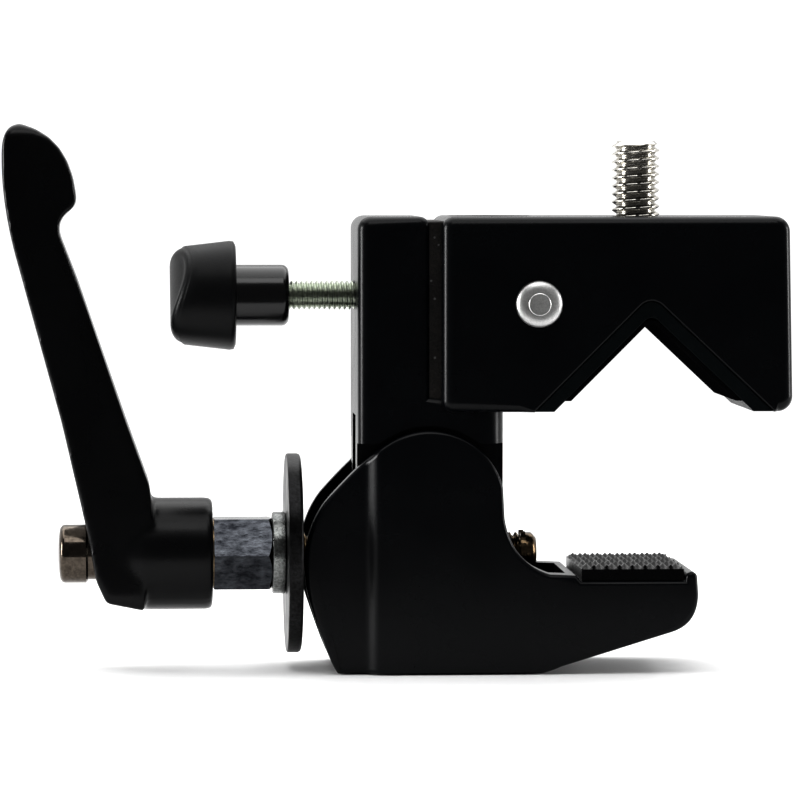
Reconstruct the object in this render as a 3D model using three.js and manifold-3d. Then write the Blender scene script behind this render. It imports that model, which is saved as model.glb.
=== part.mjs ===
// Super clamp: a cast body with a V-shaped throat, a lower jaw that a screw and a lever
// close, and a hexagonal socket for a 16 mm spigot with its lock screw and safety pin.
// Millimetres, +Z up. X runs from the lever to the throat and Y across the casting.
// The origin is at the middle of the clamp's length and width, level with the jaw's flat base.

import * as THREE from 'three';
import { mergeVertices } from 'three/addons/utils/BufferGeometryUtils.js';
import Module from 'manifold-3d';

const wasm = await Module();
wasm.setup();

// ---------------------------------------------------------------- driving dimensions

const GAP = 0.3;                       // clearance between pieces that touch
const ROUND_STEPS = 36;                // facets on a visible round piece
const BORE_STEPS = 24;                 // facets on a bore or a small pin

const BODY_TOP = 90.1;
const BLOCK_BOTTOM = 51.6;
const BLOCK_LEFT = 8.45;
const BLOCK_RIGHT = 78.0;
const BLOCK_DRAFT = 0.7;
const BLOCK_HALF = 17.5;
const REAR_LEFT = -8.05;
const REAR_RIGHT = 6.25;
const REAR_HALF = 15.5;
const LEG_RIGHT = 20.85;
const LEG_BOTTOM = 13;
const TONGUE_HALF = 11.6;              // half the leg's width between the cheeks
const SHOULDER_Z = 45.4;

const THROAT = { x: 49.7, apex: 74.6, leftRun: 1, rightRun: 1.06 };
const INSERT_THICK = 2.4;
const LINING_THICK = 0.7;
const LAYER_GAP = 0.2;

const STUD = { x: 48.4, radius: 4.76, top: 105, depth: 12 };

const PIVOT = { x: 6.05, z: 33.1 };
const SPINDLE_Z = 22.8;
const CAM_BASE = 11.9;                 // base circle of the cheeks' involute backs
const CAM_REACH = 24.6;                // from the pivot to the big washer's face
const CAM_CLOSED = 0.7353;             // the jaw's turn after seven closing turns, in radians
const CAM_OPEN = -0.32;                // and a little past the clip's stop against the leg
const CHEEK_RADIUS = 14.9;
const CROWN_START = 0.25;              // the crown's arc, in radians about the pivot
const CROWN_END = 2.06;
const CROWN_ROOM = 0.9;
const CHEEK_INNER = 12.1;
const CHANNEL_END = 33.2;
const SPINDLE_RELIEF_END = 27.5;
const JAW_FLOOR = 2.2;
const PAD = { left: 36.1, right: 56.4, seat: 18.2, top: 21.6, half: 16.2 };

const HEX = { left: -36.15, right: -24.65, flats: 14 };
const ZINC_WASHER = { left: -24.3, right: -22.0, radius: 8.2 };
const BIG_WASHER = { left: -21.75, right: -18.85, radius: 19.9 };
const THREAD_RADIUS = 3.95;
const SPINDLE_END = 28.35;
const CLIP = { x: 25.1, thick: 1, outer: 4.7, inner: 3.2 };

const HUB = { right: -36.4, radius: 11.2 };
const LEVER_BASE_HALF = 9.5;
const LEVER_TIP_HALF = 6.8;
const SCREW_HEAD = { left: -67.3, right: -61.2, radius: 5.85 };
const SPRING_CHAMBER = { right: -50.4, radius: 6.3 };

const LOCK_Z = 74.3;
const KNOB = { left: -44.75, right: -31.75, small: 9.7, large: 11 };
const COLLAR = { left: -31.45, right: -21.15, radius: 6.1 };
const LOCK_THREAD_RADIUS = 2.9;
const SOCKET = { x: 19, flats: 16.2, floor: 57 };

const SAFETY = { x: 27.5, z: 72.9, button: 4.6, pin: 2.6 };

// ---------------------------------------------------------------- shared shape tools

function signedVolume(position, triangles) {
  const [a, b, c] = [new THREE.Vector3(), new THREE.Vector3(), new THREE.Vector3()];
  let volume = 0;
  for (let i = 0; i < triangles.length; i += 3) {
    a.fromBufferAttribute(position, triangles[i]);
    b.fromBufferAttribute(position, triangles[i + 1]);
    c.fromBufferAttribute(position, triangles[i + 2]);
    volume += a.dot(b.cross(c)) / 6;
  }
  return volume;
}

// Turns a closed three.js geometry into a solid that can be joined and cut.
function solid(geometry) {
  geometry.deleteAttribute('normal');
  geometry.deleteAttribute('uv');
  const merged = mergeVertices(geometry, 1e-4);
  const position = merged.getAttribute('position');
  const index = merged.index.array;
  const triangles = [];
  for (let i = 0; i < index.length; i += 3) {
    const [a, b, c] = [index[i], index[i + 1], index[i + 2]];
    if (a !== b && b !== c && c !== a) triangles.push(a, b, c);
  }
  if (signedVolume(position, triangles) < 0) triangles.reverse();
  return new wasm.Manifold(new wasm.Mesh({
    numProp: 3,
    vertProperties: new Float32Array(position.array),
    triVerts: new Uint32Array(triangles),
  }));
}

// Outline through corners [x, y, radius], with an arc at each corner that has a radius.
function outline(corners) {
  const shape = new THREE.Shape();
  corners.forEach(([x, y, radius = 0], i) => {
    const here = new THREE.Vector2(x, y);
    const before = corners[(i + corners.length - 1) % corners.length];
    const after = corners[(i + 1) % corners.length];
    const back = new THREE.Vector2(before[0], before[1]).sub(here).normalize();
    const on = new THREE.Vector2(after[0], after[1]).sub(here).normalize();
    const half = Math.acos(THREE.MathUtils.clamp(back.dot(on), -1, 1)) / 2;
    const reach = radius / Math.tan(half);
    const start = here.clone().addScaledVector(back, reach);
    if (i === 0) shape.moveTo(start.x, start.y);
    else shape.lineTo(start.x, start.y);
    if (radius > 0) {
      const middle = back.clone().add(on).normalize();
      const centre = here.clone().addScaledVector(middle, radius / Math.sin(half));
      const end = here.clone().addScaledVector(on, reach);
      const from = Math.atan2(start.y - centre.y, start.x - centre.x);
      const to = Math.atan2(end.y - centre.y, end.x - centre.x);
      shape.absarc(centre.x, centre.y, radius, from, to, back.cross(on) > 0);
    }
  });
  shape.closePath();
  return shape;
}

function circle(x, y, radius) {
  const shape = new THREE.Shape();
  shape.absarc(x, y, radius, 0, 2 * Math.PI, false);
  return shape;
}

function extrude(shape, depth, curveSegments = 5) {
  return new THREE.ExtrudeGeometry(shape, { depth, curveSegments, bevelEnabled: false, steps: 1 });
}

// A shape drawn in X and Z, from y = low to y = high.
function alongY(shape, low, high, curveSegments) {
  return solid(extrude(shape, high - low, curveSegments).rotateX(Math.PI / 2).translate(0, high, 0));
}

// A shape drawn in Y and Z, from x = low to x = high.
function alongX(shape, low, high, curveSegments) {
  const geometry = extrude(shape, high - low, curveSegments);
  geometry.rotateX(Math.PI / 2).rotateZ(Math.PI / 2);
  return solid(geometry.translate(low, 0, 0));
}

// A shape drawn in X and Y, from z = low to z = high.
function alongZ(shape, low, high, curveSegments) {
  return solid(extrude(shape, high - low, curveSegments).translate(0, 0, low));
}

// Profiles are [radius, distance along the axis].
function turned(profile, steps) {
  const points = profile.map(([radius, along]) => new THREE.Vector2(radius, along));
  return new THREE.LatheGeometry(points, steps);
}
const turnedX = (profile, steps = ROUND_STEPS) => solid(turned(profile, steps).rotateZ(-Math.PI / 2));
const turnedY = (profile, steps = ROUND_STEPS) => solid(turned(profile, steps));
const turnedZ = (profile, steps = ROUND_STEPS) => solid(turned(profile, steps).rotateX(Math.PI / 2));

const rod = (radius, low, high) => [[0, low], [radius, low], [radius, high], [0, high]];
const ring = (inner, outer, low, high) =>
  [[inner, low], [outer, low], [outer, high], [inner, high], [inner, low]];

// A block given by its low and high corners.
function block(low, high) {
  const size = high.map((value, i) => value - low[i]);
  const centre = high.map((value, i) => (value + low[i]) / 2);
  return solid(new THREE.BoxGeometry(...size).translate(...centre));
}

function hexagon(flats, startAngle) {
  const radius = flats / Math.sqrt(3);
  const corners = [];
  for (let i = 0; i < 6; i += 1) {
    const angle = startAngle + i * Math.PI / 3;
    corners.push([radius * Math.cos(angle), radius * Math.sin(angle)]);
  }
  return outline(corners);
}

// A coil of round wire along an axis that starts at the origin and runs in +Y.
function coil(meanRadius, wireRadius, length, turns) {
  class Helix extends THREE.Curve {
    getPoint(t, target = new THREE.Vector3()) {
      const angle = 2 * Math.PI * turns * t;
      const y = wireRadius + (length - 2 * wireRadius) * t;
      return target.set(meanRadius * Math.cos(angle), y, meanRadius * Math.sin(angle));
    }
  }
  return new THREE.ExtrudeGeometry(circle(0, 0, wireRadius), {
    extrudePath: new Helix(),
    steps: turns * 12,
    curveSegments: 6,
    bevelEnabled: false,
  });
}

// ---------------------------------------------------------------- materials and assembly

function finish(color, roughness, metalness) {
  return new THREE.MeshStandardMaterial({ color, roughness, metalness });
}
const blackPaint = finish(0x141517, 0.45, 0.2);
const blackPlastic = finish(0x16181a, 0.6, 0);
const glossPlastic = finish(0x101113, 0.25, 0);
const insertPlastic = finish(0x1b2427, 0.5, 0);
const rubber = finish(0x0c0c0d, 0.85, 0);
const brightSteel = finish(0xc9cacb, 0.22, 1);
const zinc = finish(0x9fa3a0, 0.4, 1);
const blackSteel = finish(0x2a2a2a, 0.45, 0.8);
const darkNickel = finish(0x6d6a66, 0.18, 1);
const brass = finish(0xa8823e, 0.35, 1);

const clamp = new THREE.Group();
const jawLine = new THREE.Group();
jawLine.position.set(PIVOT.x, 0, PIVOT.z);
const spindleLine = new THREE.Group();
spindleLine.position.z = SPINDLE_Z;
const lockLine = new THREE.Group();
lockLine.position.z = LOCK_Z;
const safetyLine = new THREE.Group();
safetyLine.position.set(SAFETY.x, 0, SAFETY.z);
clamp.add(jawLine, spindleLine, lockLine, safetyLine);

function add(group, name, body, material) {
  const { vertProperties, triVerts } = body.getMesh();
  const geometry = new THREE.BufferGeometry();
  geometry.setAttribute('position', new THREE.BufferAttribute(vertProperties, 3));
  geometry.setIndex(new THREE.BufferAttribute(triVerts, 1));
  geometry.computeVertexNormals();
  const mesh = new THREE.Mesh(geometry, material);
  mesh.name = name;
  group.add(mesh);
}

// ---------------------------------------------------------------- body and throat

// The V throat's outline, with flanks near 45 degrees, pushed down by some thickness.
function throatCorners(inset, footLift, apexRadius) {
  const apex = THROAT.apex - inset * Math.SQRT2;
  const foot = BLOCK_BOTTOM + footLift;
  return {
    left: [THROAT.x - (apex - foot) * THROAT.leftRun, foot],
    apex: [THROAT.x, apex, apexRadius],
    right: [THROAT.x + (apex - foot) * THROAT.rightRun, foot],
  };
}

// A V-shaped layer between two depths below the casting's flanks.
function throatLayer(outerInset, thickness, footLift, halfWidth) {
  const outer = throatCorners(outerInset, footLift, 3);
  const inner = throatCorners(outerInset + thickness, footLift, 1.8);
  const corners = [outer.left, outer.apex, outer.right, inner.right, inner.apex, inner.left];
  return alongY(outline(corners), -halfWidth, halfWidth, 5);
}

function bodyCasting() {
  const throat = throatCorners(0, 0, 3);
  const vBlock = alongY(outline([
    [BLOCK_LEFT, BLOCK_BOTTOM, 1.5], throat.left, throat.apex, throat.right,
    [BLOCK_RIGHT, BLOCK_BOTTOM, 2.5], [BLOCK_RIGHT - BLOCK_DRAFT, BODY_TOP, 2.5], [BLOCK_LEFT, BODY_TOP, 2],
  ]), -BLOCK_HALF, BLOCK_HALF);
  const rearAndLeg = alongY(outline([
    [REAR_LEFT, LEG_BOTTOM, 3], [LEG_RIGHT, LEG_BOTTOM, 4], [LEG_RIGHT, BLOCK_BOTTOM + 1],
    [REAR_RIGHT, BLOCK_BOTTOM + 1], [REAR_RIGHT, BODY_TOP, 2], [REAR_LEFT, BODY_TOP, 2.5],
  ]), -REAR_HALF, REAR_HALF);
  const strip = block([REAR_RIGHT - 1, 1 - REAR_HALF, BLOCK_BOTTOM], [BLOCK_LEFT + 1, REAR_HALF - 1, BODY_TOP - 0.9]);

  const relief = outline([
    [REAR_LEFT - 5, LEG_BOTTOM - 5], [LEG_RIGHT + 5, LEG_BOTTOM - 5],
    [LEG_RIGHT + 5, SHOULDER_Z], [REAR_LEFT - 5, SHOULDER_Z],
  ]);
  const crown = circle(PIVOT.x, PIVOT.z, CHEEK_RADIUS + CROWN_ROOM);
  let body = vBlock.add(rearAndLeg).add(strip);
  for (const [low, high] of [[-BLOCK_HALF - 1, -TONGUE_HALF], [TONGUE_HALF, BLOCK_HALF + 1]]) {
    body = body.subtract(alongY(relief, low, high)).subtract(alongY(crown, low, high, 12));
  }

  const rearSlot = block([REAR_LEFT - 1, -5.5, LEG_BOTTOM - 1], [REAR_LEFT + 3, 5.5, BLOCK_BOTTOM - 1]);
  const spindleBore = turnedX(rod(THREAD_RADIUS + GAP, REAR_LEFT - 1, LEG_RIGHT + 1), BORE_STEPS)
    .translate([0, 0, SPINDLE_Z]);
  const pivotBore = turnedY(rod(4 + GAP, -TONGUE_HALF - 1, TONGUE_HALF + 1), BORE_STEPS)
    .translate([PIVOT.x, 0, PIVOT.z]);
  const socket = alongZ(hexagon(SOCKET.flats, Math.PI / 2), SOCKET.floor, BODY_TOP + 1)
    .translate([SOCKET.x, 0, 0]);
  const lockBore = turnedX(rod(LOCK_THREAD_RADIUS + GAP, REAR_LEFT - 1, SOCKET.x), BORE_STEPS)
    .translate([0, 0, LOCK_Z]);
  const studHole = turnedZ(rod(STUD.radius + GAP, BODY_TOP - STUD.depth - GAP, BODY_TOP + 1), BORE_STEPS)
    .translate([STUD.x, 0, 0]);
  const safetyBore = turnedY([
    [0, -18], [SAFETY.button + GAP, -18], [SAFETY.button + GAP, -9.5], [SAFETY.pin + GAP, -9.5],
    [SAFETY.pin + GAP, 13.5], [SAFETY.button, 13.5], [SAFETY.button, 18], [0, 18],
  ], BORE_STEPS).translate([SAFETY.x, 0, SAFETY.z]);
  for (const cut of [rearSlot, spindleBore, pivotBore, socket, lockBore, studHole, safetyBore]) {
    body = body.subtract(cut);
  }
  return body;
}

function topStud() {
  const tip = STUD.radius - 1.1;
  return turnedZ([
    [0, BODY_TOP - STUD.depth], [STUD.radius, BODY_TOP - STUD.depth],
    [STUD.radius, STUD.top - 1.1], [tip, STUD.top], [0, STUD.top],
  ]).translate([STUD.x, 0, 0]);
}

add(clamp, 'body_casting', bodyCasting(), blackPaint);
add(clamp, 'v_insert', throatLayer(LAYER_GAP, INSERT_THICK, 0.1, BLOCK_HALF - 0.3), insertPlastic);
add(clamp, 'v_lining', throatLayer(2 * LAYER_GAP + INSERT_THICK, LINING_THICK, 2.2, BLOCK_HALF - 0.5), rubber);
add(clamp, 'top_stud', topStud(), brightSteel);

// ---------------------------------------------------------------- jaw, about its pivot

const jawX = (x) => x - PIVOT.x;
const jawZ = (z) => z - PIVOT.z;

// A point of the cheek's back, which is an involute. The flat washer touches it there while
// the jaw is turned by the given angle, always at one height, so the jaw's angle is the
// washer's travel over the base circle's radius.
function camPoint(angle) {
  const reach = CAM_REACH - CAM_BASE * angle;
  const x = -reach * Math.cos(angle) - CAM_BASE * Math.sin(angle);
  const z = reach * Math.sin(angle) - CAM_BASE * Math.cos(angle);
  return new THREE.Vector2(x, z);
}

// Where the crown's end tangent meets the washer's face, with the jaw turned as far as it closes.
function crownBlend() {
  const crownEnd = new THREE.Vector2(Math.cos(CROWN_END), Math.sin(CROWN_END)).multiplyScalar(CHEEK_RADIUS);
  const tangent = new THREE.Vector2(-Math.sin(CROWN_END), Math.cos(CROWN_END));
  const towardsWasher = new THREE.Vector2(-Math.cos(CAM_CLOSED), Math.sin(CAM_CLOSED));
  const faceDistance = CAM_REACH - CAM_BASE * CAM_CLOSED;
  const along = (faceDistance - towardsWasher.dot(crownEnd)) / towardsWasher.dot(tangent);
  return crownEnd.addScaledVector(tangent, along);
}

function jawOutline() {
  const camSteps = 16;
  const heel = { left: -11.9, cornerX: -13.1, cornerZ: 0.6 };
  const shape = new THREE.Shape();
  shape.moveTo(jawX(heel.left), jawZ(0));
  shape.lineTo(jawX(28), jawZ(0));
  shape.quadraticCurveTo(jawX(29.8), jawZ(0.3), jawX(32), jawZ(1.3));
  shape.lineTo(jawX(53.9), jawZ(8));
  shape.quadraticCurveTo(jawX(59.2), jawZ(9.6), jawX(59.2), jawZ(15.6));
  shape.lineTo(jawX(59), jawZ(18.8));
  shape.absarc(jawX(57.8), jawZ(18.8), 1.2, 0, Math.PI, false);
  shape.lineTo(jawX(PAD.right + GAP), jawZ(PAD.seat));
  shape.lineTo(jawX(PAD.left - GAP), jawZ(PAD.seat));
  shape.lineTo(jawX(34.8), jawZ(19.4));
  shape.lineTo(jawX(29.8), jawZ(19.6));
  shape.quadraticCurveTo(jawX(22.2), jawZ(22), jawX(20.8), jawZ(30.6));
  shape.lineTo(CHEEK_RADIUS * Math.cos(CROWN_START), CHEEK_RADIUS * Math.sin(CROWN_START));
  shape.absarc(0, 0, CHEEK_RADIUS, CROWN_START, CROWN_END, false);
  const blend = crownBlend();
  const closed = camPoint(CAM_CLOSED);
  shape.quadraticCurveTo(blend.x, blend.y, closed.x, closed.y);
  for (let i = 1; i <= camSteps; i += 1) {
    const point = camPoint(CAM_CLOSED + (CAM_OPEN - CAM_CLOSED) * i / camSteps);
    shape.lineTo(point.x, point.y);
  }
  shape.quadraticCurveTo(jawX(heel.cornerX), jawZ(heel.cornerZ), jawX(heel.left), jawZ(0));
  return shape;
}

function lowerJaw() {
  const shape = jawOutline();
  const rearZone = outline([[jawX(-25), jawZ(-2)], [jawX(-6.2), jawZ(-2)], [jawX(-6.2), jawZ(60)], [jawX(-25), jawZ(60)]]);
  let jaw = alongY(shape, -BLOCK_HALF, BLOCK_HALF, 8);
  for (const [low, high] of [[-BLOCK_HALF - 1, -REAR_HALF], [REAR_HALF, BLOCK_HALF + 1]]) {
    jaw = jaw.subtract(alongY(rearZone, low, high));
  }
  const channel = block(
    [jawX(-30), -CHEEK_INNER, jawZ(JAW_FLOOR)], [jawX(CHANNEL_END), CHEEK_INNER, jawZ(60)]);
  const spindleRelief = block(
    [jawX(8), -7, jawZ(0.9)], [jawX(SPINDLE_RELIEF_END), 7, jawZ(JAW_FLOOR + 1)]);
  const farBore = turnedY(rod(4 + GAP, CHEEK_INNER - 2, BLOCK_HALF + 1), BORE_STEPS);
  const nearBore = turnedY(rod(4 + GAP, -CHEEK_INNER - 3.5, -CHEEK_INNER + 2), BORE_STEPS);
  return jaw.subtract(channel).subtract(spindleRelief).subtract(farBore).subtract(nearBore);
}

function jawPad() {
  const corners = [
    [jawX(PAD.left), jawZ(PAD.seat + GAP)], [jawX(PAD.right), jawZ(PAD.seat + GAP)],
    [jawX(PAD.right), jawZ(PAD.top), 0.4], [jawX(PAD.left), jawZ(PAD.top), 0.4],
  ];
  return alongY(outline(corners), -PAD.half, PAD.half, 2);
}

add(jawLine, 'lower_jaw', lowerJaw(), blackPaint);
add(jawLine, 'jaw_pad', jawPad(), rubber);
add(jawLine, 'pivot_pin', turnedY(rod(4, -CHEEK_INNER - 3.2, BLOCK_HALF - 0.3), BORE_STEPS), zinc);

// ---------------------------------------------------------------- spindle and washers

function spindle() {
  const stubLeft = HUB.right - 10.9;
  const hex = alongX(hexagon(HEX.flats, 0), HEX.left, HEX.right);
  const chamfer = turnedX([
    [0, HEX.left], [7.6, HEX.left], [8.4, HEX.left + 0.8], [8.4, HEX.right - 1], [6.9, HEX.right], [0, HEX.right],
  ]);
  const shaft = turnedX([
    [0, stubLeft], [6.4, stubLeft], [7, stubLeft + 0.6], [7, HEX.left + 1], [THREAD_RADIUS, HEX.left + 1],
    [THREAD_RADIUS, CLIP.x - 0.3], [CLIP.inner - GAP, CLIP.x - 0.3],
    [CLIP.inner - GAP, CLIP.x + CLIP.thick + 0.3], [THREAD_RADIUS, CLIP.x + CLIP.thick + 0.3],
    [THREAD_RADIUS, SPINDLE_END - 1], [THREAD_RADIUS - 1, SPINDLE_END], [0, SPINDLE_END],
  ], BORE_STEPS);
  const screwHole = turnedX(rod(2.5 + GAP, stubLeft - 1, HEX.right - 2), BORE_STEPS);
  return hex.intersect(chamfer).add(shaft).subtract(screwHole);
}

// An open ring that snaps into a groove, with its mouth at an angle from the shape's first axis.
function snapRing(inner, outer, thick, mouthAngle) {
  const shape = new THREE.Shape();
  const halfMouth = 0.45;
  const start = mouthAngle + halfMouth;
  const end = mouthAngle + 2 * Math.PI - halfMouth;
  shape.absarc(0, 0, outer, start, end, false);
  shape.absarc(0, 0, inner, end, start, true);
  shape.closePath();
  return extrude(shape, thick, 20);
}

add(spindleLine, 'spindle', spindle(), zinc);
add(spindleLine, 'zinc_washer', turnedX(ring(4.4, ZINC_WASHER.radius, ZINC_WASHER.left, ZINC_WASHER.right)), zinc);
const rim = BIG_WASHER.radius;
add(spindleLine, 'pressure_washer', turnedX([
  [4.4, BIG_WASHER.left], [rim - 0.5, BIG_WASHER.left], [rim, BIG_WASHER.left + 0.5],
  [rim, BIG_WASHER.right - 0.5], [rim - 0.5, BIG_WASHER.right], [4.4, BIG_WASHER.right], [4.4, BIG_WASHER.left],
], 48), blackSteel);
const clipRing = snapRing(CLIP.inner, CLIP.outer, CLIP.thick, Math.PI / 2).rotateX(Math.PI / 2).rotateZ(Math.PI / 2);
add(spindleLine, 'spindle_clip', solid(clipRing.translate(CLIP.x, 0, 0)), brass);

// ---------------------------------------------------------------- handle, about the spindle

const leverZ = (z) => z - SPINDLE_Z;

function leverSide() {
  const shape = new THREE.Shape();
  shape.moveTo(-50, leverZ(12));
  shape.lineTo(-57.6, leverZ(13.6));
  shape.lineTo(-59.6, leverZ(18));
  shape.lineTo(-61.3, leverZ(27.5));
  shape.lineTo(-66.4, leverZ(49.7));
  shape.lineTo(-75.5, leverZ(83));
  shape.quadraticCurveTo(-78.2, leverZ(93.5), -78, leverZ(103));
  shape.quadraticCurveTo(-77.8, leverZ(108.6), -74.2, leverZ(108.4));
  shape.quadraticCurveTo(-64.5, leverZ(106), -63.3, leverZ(94));
  shape.quadraticCurveTo(-63.2, leverZ(92), -64.6, leverZ(91.2));
  shape.quadraticCurveTo(-67.6, leverZ(89), -66.4, leverZ(86));
  shape.lineTo(-63.3, leverZ(78));
  shape.lineTo(-53.6, leverZ(49.7));
  shape.lineTo(-49, leverZ(37));
  shape.quadraticCurveTo(-48.4, leverZ(34), -48.6, leverZ(29));
  shape.closePath();
  return shape;
}

function handle() {
  const half = LEVER_BASE_HALF;
  const front = outline([
    [-half - 1.2, leverZ(11), 4], [half + 1.2, leverZ(11), 4], [half, leverZ(36), 8],
    [LEVER_TIP_HALF, leverZ(109), 4], [-LEVER_TIP_HALF, leverZ(109), 4], [-half, leverZ(36), 8],
  ]);
  const lever = alongY(leverSide(), -12, 12, 6).intersect(alongX(front, -85, -40, 6));
  const hub = turnedX(
    [[0, -56], [9.5, -56], [HUB.radius, -50], [HUB.radius, HUB.right - 0.6], [HUB.radius - 0.6, HUB.right], [0, HUB.right]]);
  const socket = turnedX(rod(7.6, HUB.right - 11.5, HUB.right + 1), BORE_STEPS);
  const shankHole = turnedX(rod(2.9, -60, -40), BORE_STEPS);
  const chamber = turnedX(rod(SPRING_CHAMBER.radius, -70, SPRING_CHAMBER.right), BORE_STEPS);
  return lever.add(hub).subtract(socket).subtract(shankHole).subtract(chamber);
}

function handleScrew() {
  const { left, right, radius } = SCREW_HEAD;
  return turnedX([
    [0, left], [3.2, left + 0.2], [radius - 0.7, left + 0.8], [radius, left + 1.5], [radius, right],
    [5.2, right], [5.2, right + 1.7], [2.5, right + 1.7], [2.5, HEX.right - 3], [0, HEX.right - 3],
  ]);
}

const springStart = SCREW_HEAD.right + 1.7 + GAP;
const handleWasher = { left: SPRING_CHAMBER.right - GAP - 0.9, right: SPRING_CHAMBER.right - GAP };
const handleSpring = coil(4.5, 0.45, handleWasher.left - GAP - springStart, 4)
  .rotateZ(-Math.PI / 2).translate(springStart, 0, 0);

add(spindleLine, 'handle', handle(), blackPaint);
add(spindleLine, 'handle_screw', handleScrew(), darkNickel);
add(spindleLine, 'handle_washer', turnedX(ring(2.9, 5.9, handleWasher.left, handleWasher.right), BORE_STEPS), zinc);
add(spindleLine, 'handle_spring', solid(handleSpring), zinc);

// ---------------------------------------------------------------- spigot lock

// The knob's face rises to two opposite wings and dips between them.
function lockKnob() {
  const head = turnedX([
    [0, KNOB.left], [KNOB.small - 1.5, KNOB.left], [KNOB.small, KNOB.left + 1.5],
    [KNOB.large, KNOB.right - 1.2], [KNOB.large - 0.8, KNOB.right], [0, KNOB.right],
  ]);
  const scoop = outline([[KNOB.left - 9, 2.2], [KNOB.left + 9, 14], [KNOB.left - 9, 14]]);
  const scoops = alongY(scoop, -14, 14).add(alongY(scoop, -14, 14).rotate([180, 0, 0]));
  const screwHole = turnedX(rod(LOCK_THREAD_RADIUS + GAP, KNOB.right - 7, KNOB.right + 1), BORE_STEPS);
  return head.subtract(scoops.rotate([45, 0, 0])).subtract(screwHole);
}

const lockScrewEnd = SOCKET.x - SOCKET.flats / 2 - 1.9;
add(lockLine, 'lock_knob', lockKnob(), blackPlastic);
add(lockLine, 'lock_collar', turnedX([
  [LOCK_THREAD_RADIUS + GAP, COLLAR.left], [COLLAR.radius, COLLAR.left], [COLLAR.radius, COLLAR.right - 1.2],
  [COLLAR.radius - 1.2, COLLAR.right], [LOCK_THREAD_RADIUS + GAP, COLLAR.right],
  [LOCK_THREAD_RADIUS + GAP, COLLAR.left],
]), glossPlastic);
add(lockLine, 'lock_screw', turnedX(rod(LOCK_THREAD_RADIUS, KNOB.right - 6.7, lockScrewEnd), BORE_STEPS), zinc);
add(lockLine, 'lock_tip', turnedX(rod(2.6, lockScrewEnd + GAP, lockScrewEnd + GAP + 1.4), BORE_STEPS), brass);

// ---------------------------------------------------------------- safety pin

// The button pushes the pin's narrow neck in line with the spigot, which frees it.
function safetyPin() {
  const { button, pin } = SAFETY;
  return turnedY([
    [0, -19.3], [button - 1.6, -19.3], [button - 0.3, -18.7], [button, -18.2], [button, -15.5], [pin, -15.5],
    [pin, -9], [1.4, -8.4], [1.4, 1.6], [pin, 2.2], [pin, 13.9], [1.9, 13.9], [1.9, 15.3],
    [pin, 15.3], [pin, 16.6], [0, 16.6],
  ], BORE_STEPS);
}

const safetySpring = coil(3.5, 0.3, 5.4, 3).translate(0, -15.2, 0);
const safetyRing = snapRing(2.2, 3.9, 0.8, -Math.PI / 2).rotateX(Math.PI / 2).translate(0, 15, 0);

add(safetyLine, 'safety_pin', safetyPin(), brightSteel);
add(safetyLine, 'safety_spring', solid(safetySpring), zinc);
add(safetyLine, 'safety_clip', solid(safetyRing), blackSteel);

export default clamp;
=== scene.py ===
import math

import bmesh
import bpy
from mathutils import Matrix, Vector


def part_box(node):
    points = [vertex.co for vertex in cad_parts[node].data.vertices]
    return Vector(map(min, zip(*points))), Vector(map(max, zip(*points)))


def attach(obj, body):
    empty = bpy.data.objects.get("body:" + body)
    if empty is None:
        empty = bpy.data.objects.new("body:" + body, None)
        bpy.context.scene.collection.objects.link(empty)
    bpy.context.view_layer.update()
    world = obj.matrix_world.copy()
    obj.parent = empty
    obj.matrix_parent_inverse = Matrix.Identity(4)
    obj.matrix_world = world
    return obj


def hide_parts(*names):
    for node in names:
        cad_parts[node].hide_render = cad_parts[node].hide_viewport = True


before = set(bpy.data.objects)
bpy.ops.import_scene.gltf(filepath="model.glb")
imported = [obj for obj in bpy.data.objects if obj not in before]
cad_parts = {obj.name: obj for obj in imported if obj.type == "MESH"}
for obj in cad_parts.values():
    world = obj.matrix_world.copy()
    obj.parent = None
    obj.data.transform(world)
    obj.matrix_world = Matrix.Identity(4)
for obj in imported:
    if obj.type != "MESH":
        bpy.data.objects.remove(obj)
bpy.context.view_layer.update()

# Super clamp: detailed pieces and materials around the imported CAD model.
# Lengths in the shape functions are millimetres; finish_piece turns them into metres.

MM = 0.001
PAST = 1                 # how far a cutting tool reaches past the face that it cuts


def cad_box(node):
    """Lowest and highest corner of a CAD node, in millimetres."""
    low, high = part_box(node)
    return low / MM, high / MM


# ---------------------------------------------------------------- driving places, from the frame

casting_low, casting_high = cad_box("body_casting")
jaw_high = cad_box("lower_jaw")[1]
stud_low, stud_high = cad_box("top_stud")
spindle_low, spindle_high = cad_box("spindle")
washer_low, washer_high = cad_box("pressure_washer")
zinc_low, zinc_high = cad_box("zinc_washer")
pad_low, pad_high = cad_box("jaw_pad")
knob_low, knob_high = cad_box("lock_knob")
collar_low, collar_high = cad_box("lock_collar")
lock_high = cad_box("lock_screw")[1]
screw_low, screw_high = cad_box("handle_screw")
button_low, button_high = cad_box("safety_pin")
pin_low, pin_high = cad_box("pivot_pin")
clip_low, clip_high = cad_box("spindle_clip")
insert_low = cad_box("v_insert")[0]

SPINDLE_Z = (washer_low.z + washer_high.z) / 2
LOCK_Z = (knob_low.z + knob_high.z) / 2
STUD_X = (stud_low.x + stud_high.x) / 2
PIVOT = Vector(((pin_low.x + pin_high.x) / 2, 0, (pin_low.z + pin_high.z) / 2))
SAFETY = Vector(((button_low.x + button_high.x) / 2, 0, (button_low.z + button_high.z) / 2))
SPINDLE_LINE = Vector((0, 0, SPINDLE_Z))
LOCK_LINE = Vector((0, 0, LOCK_Z))
BUTTON_RADIUS = SAFETY.x - button_low.x

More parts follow.
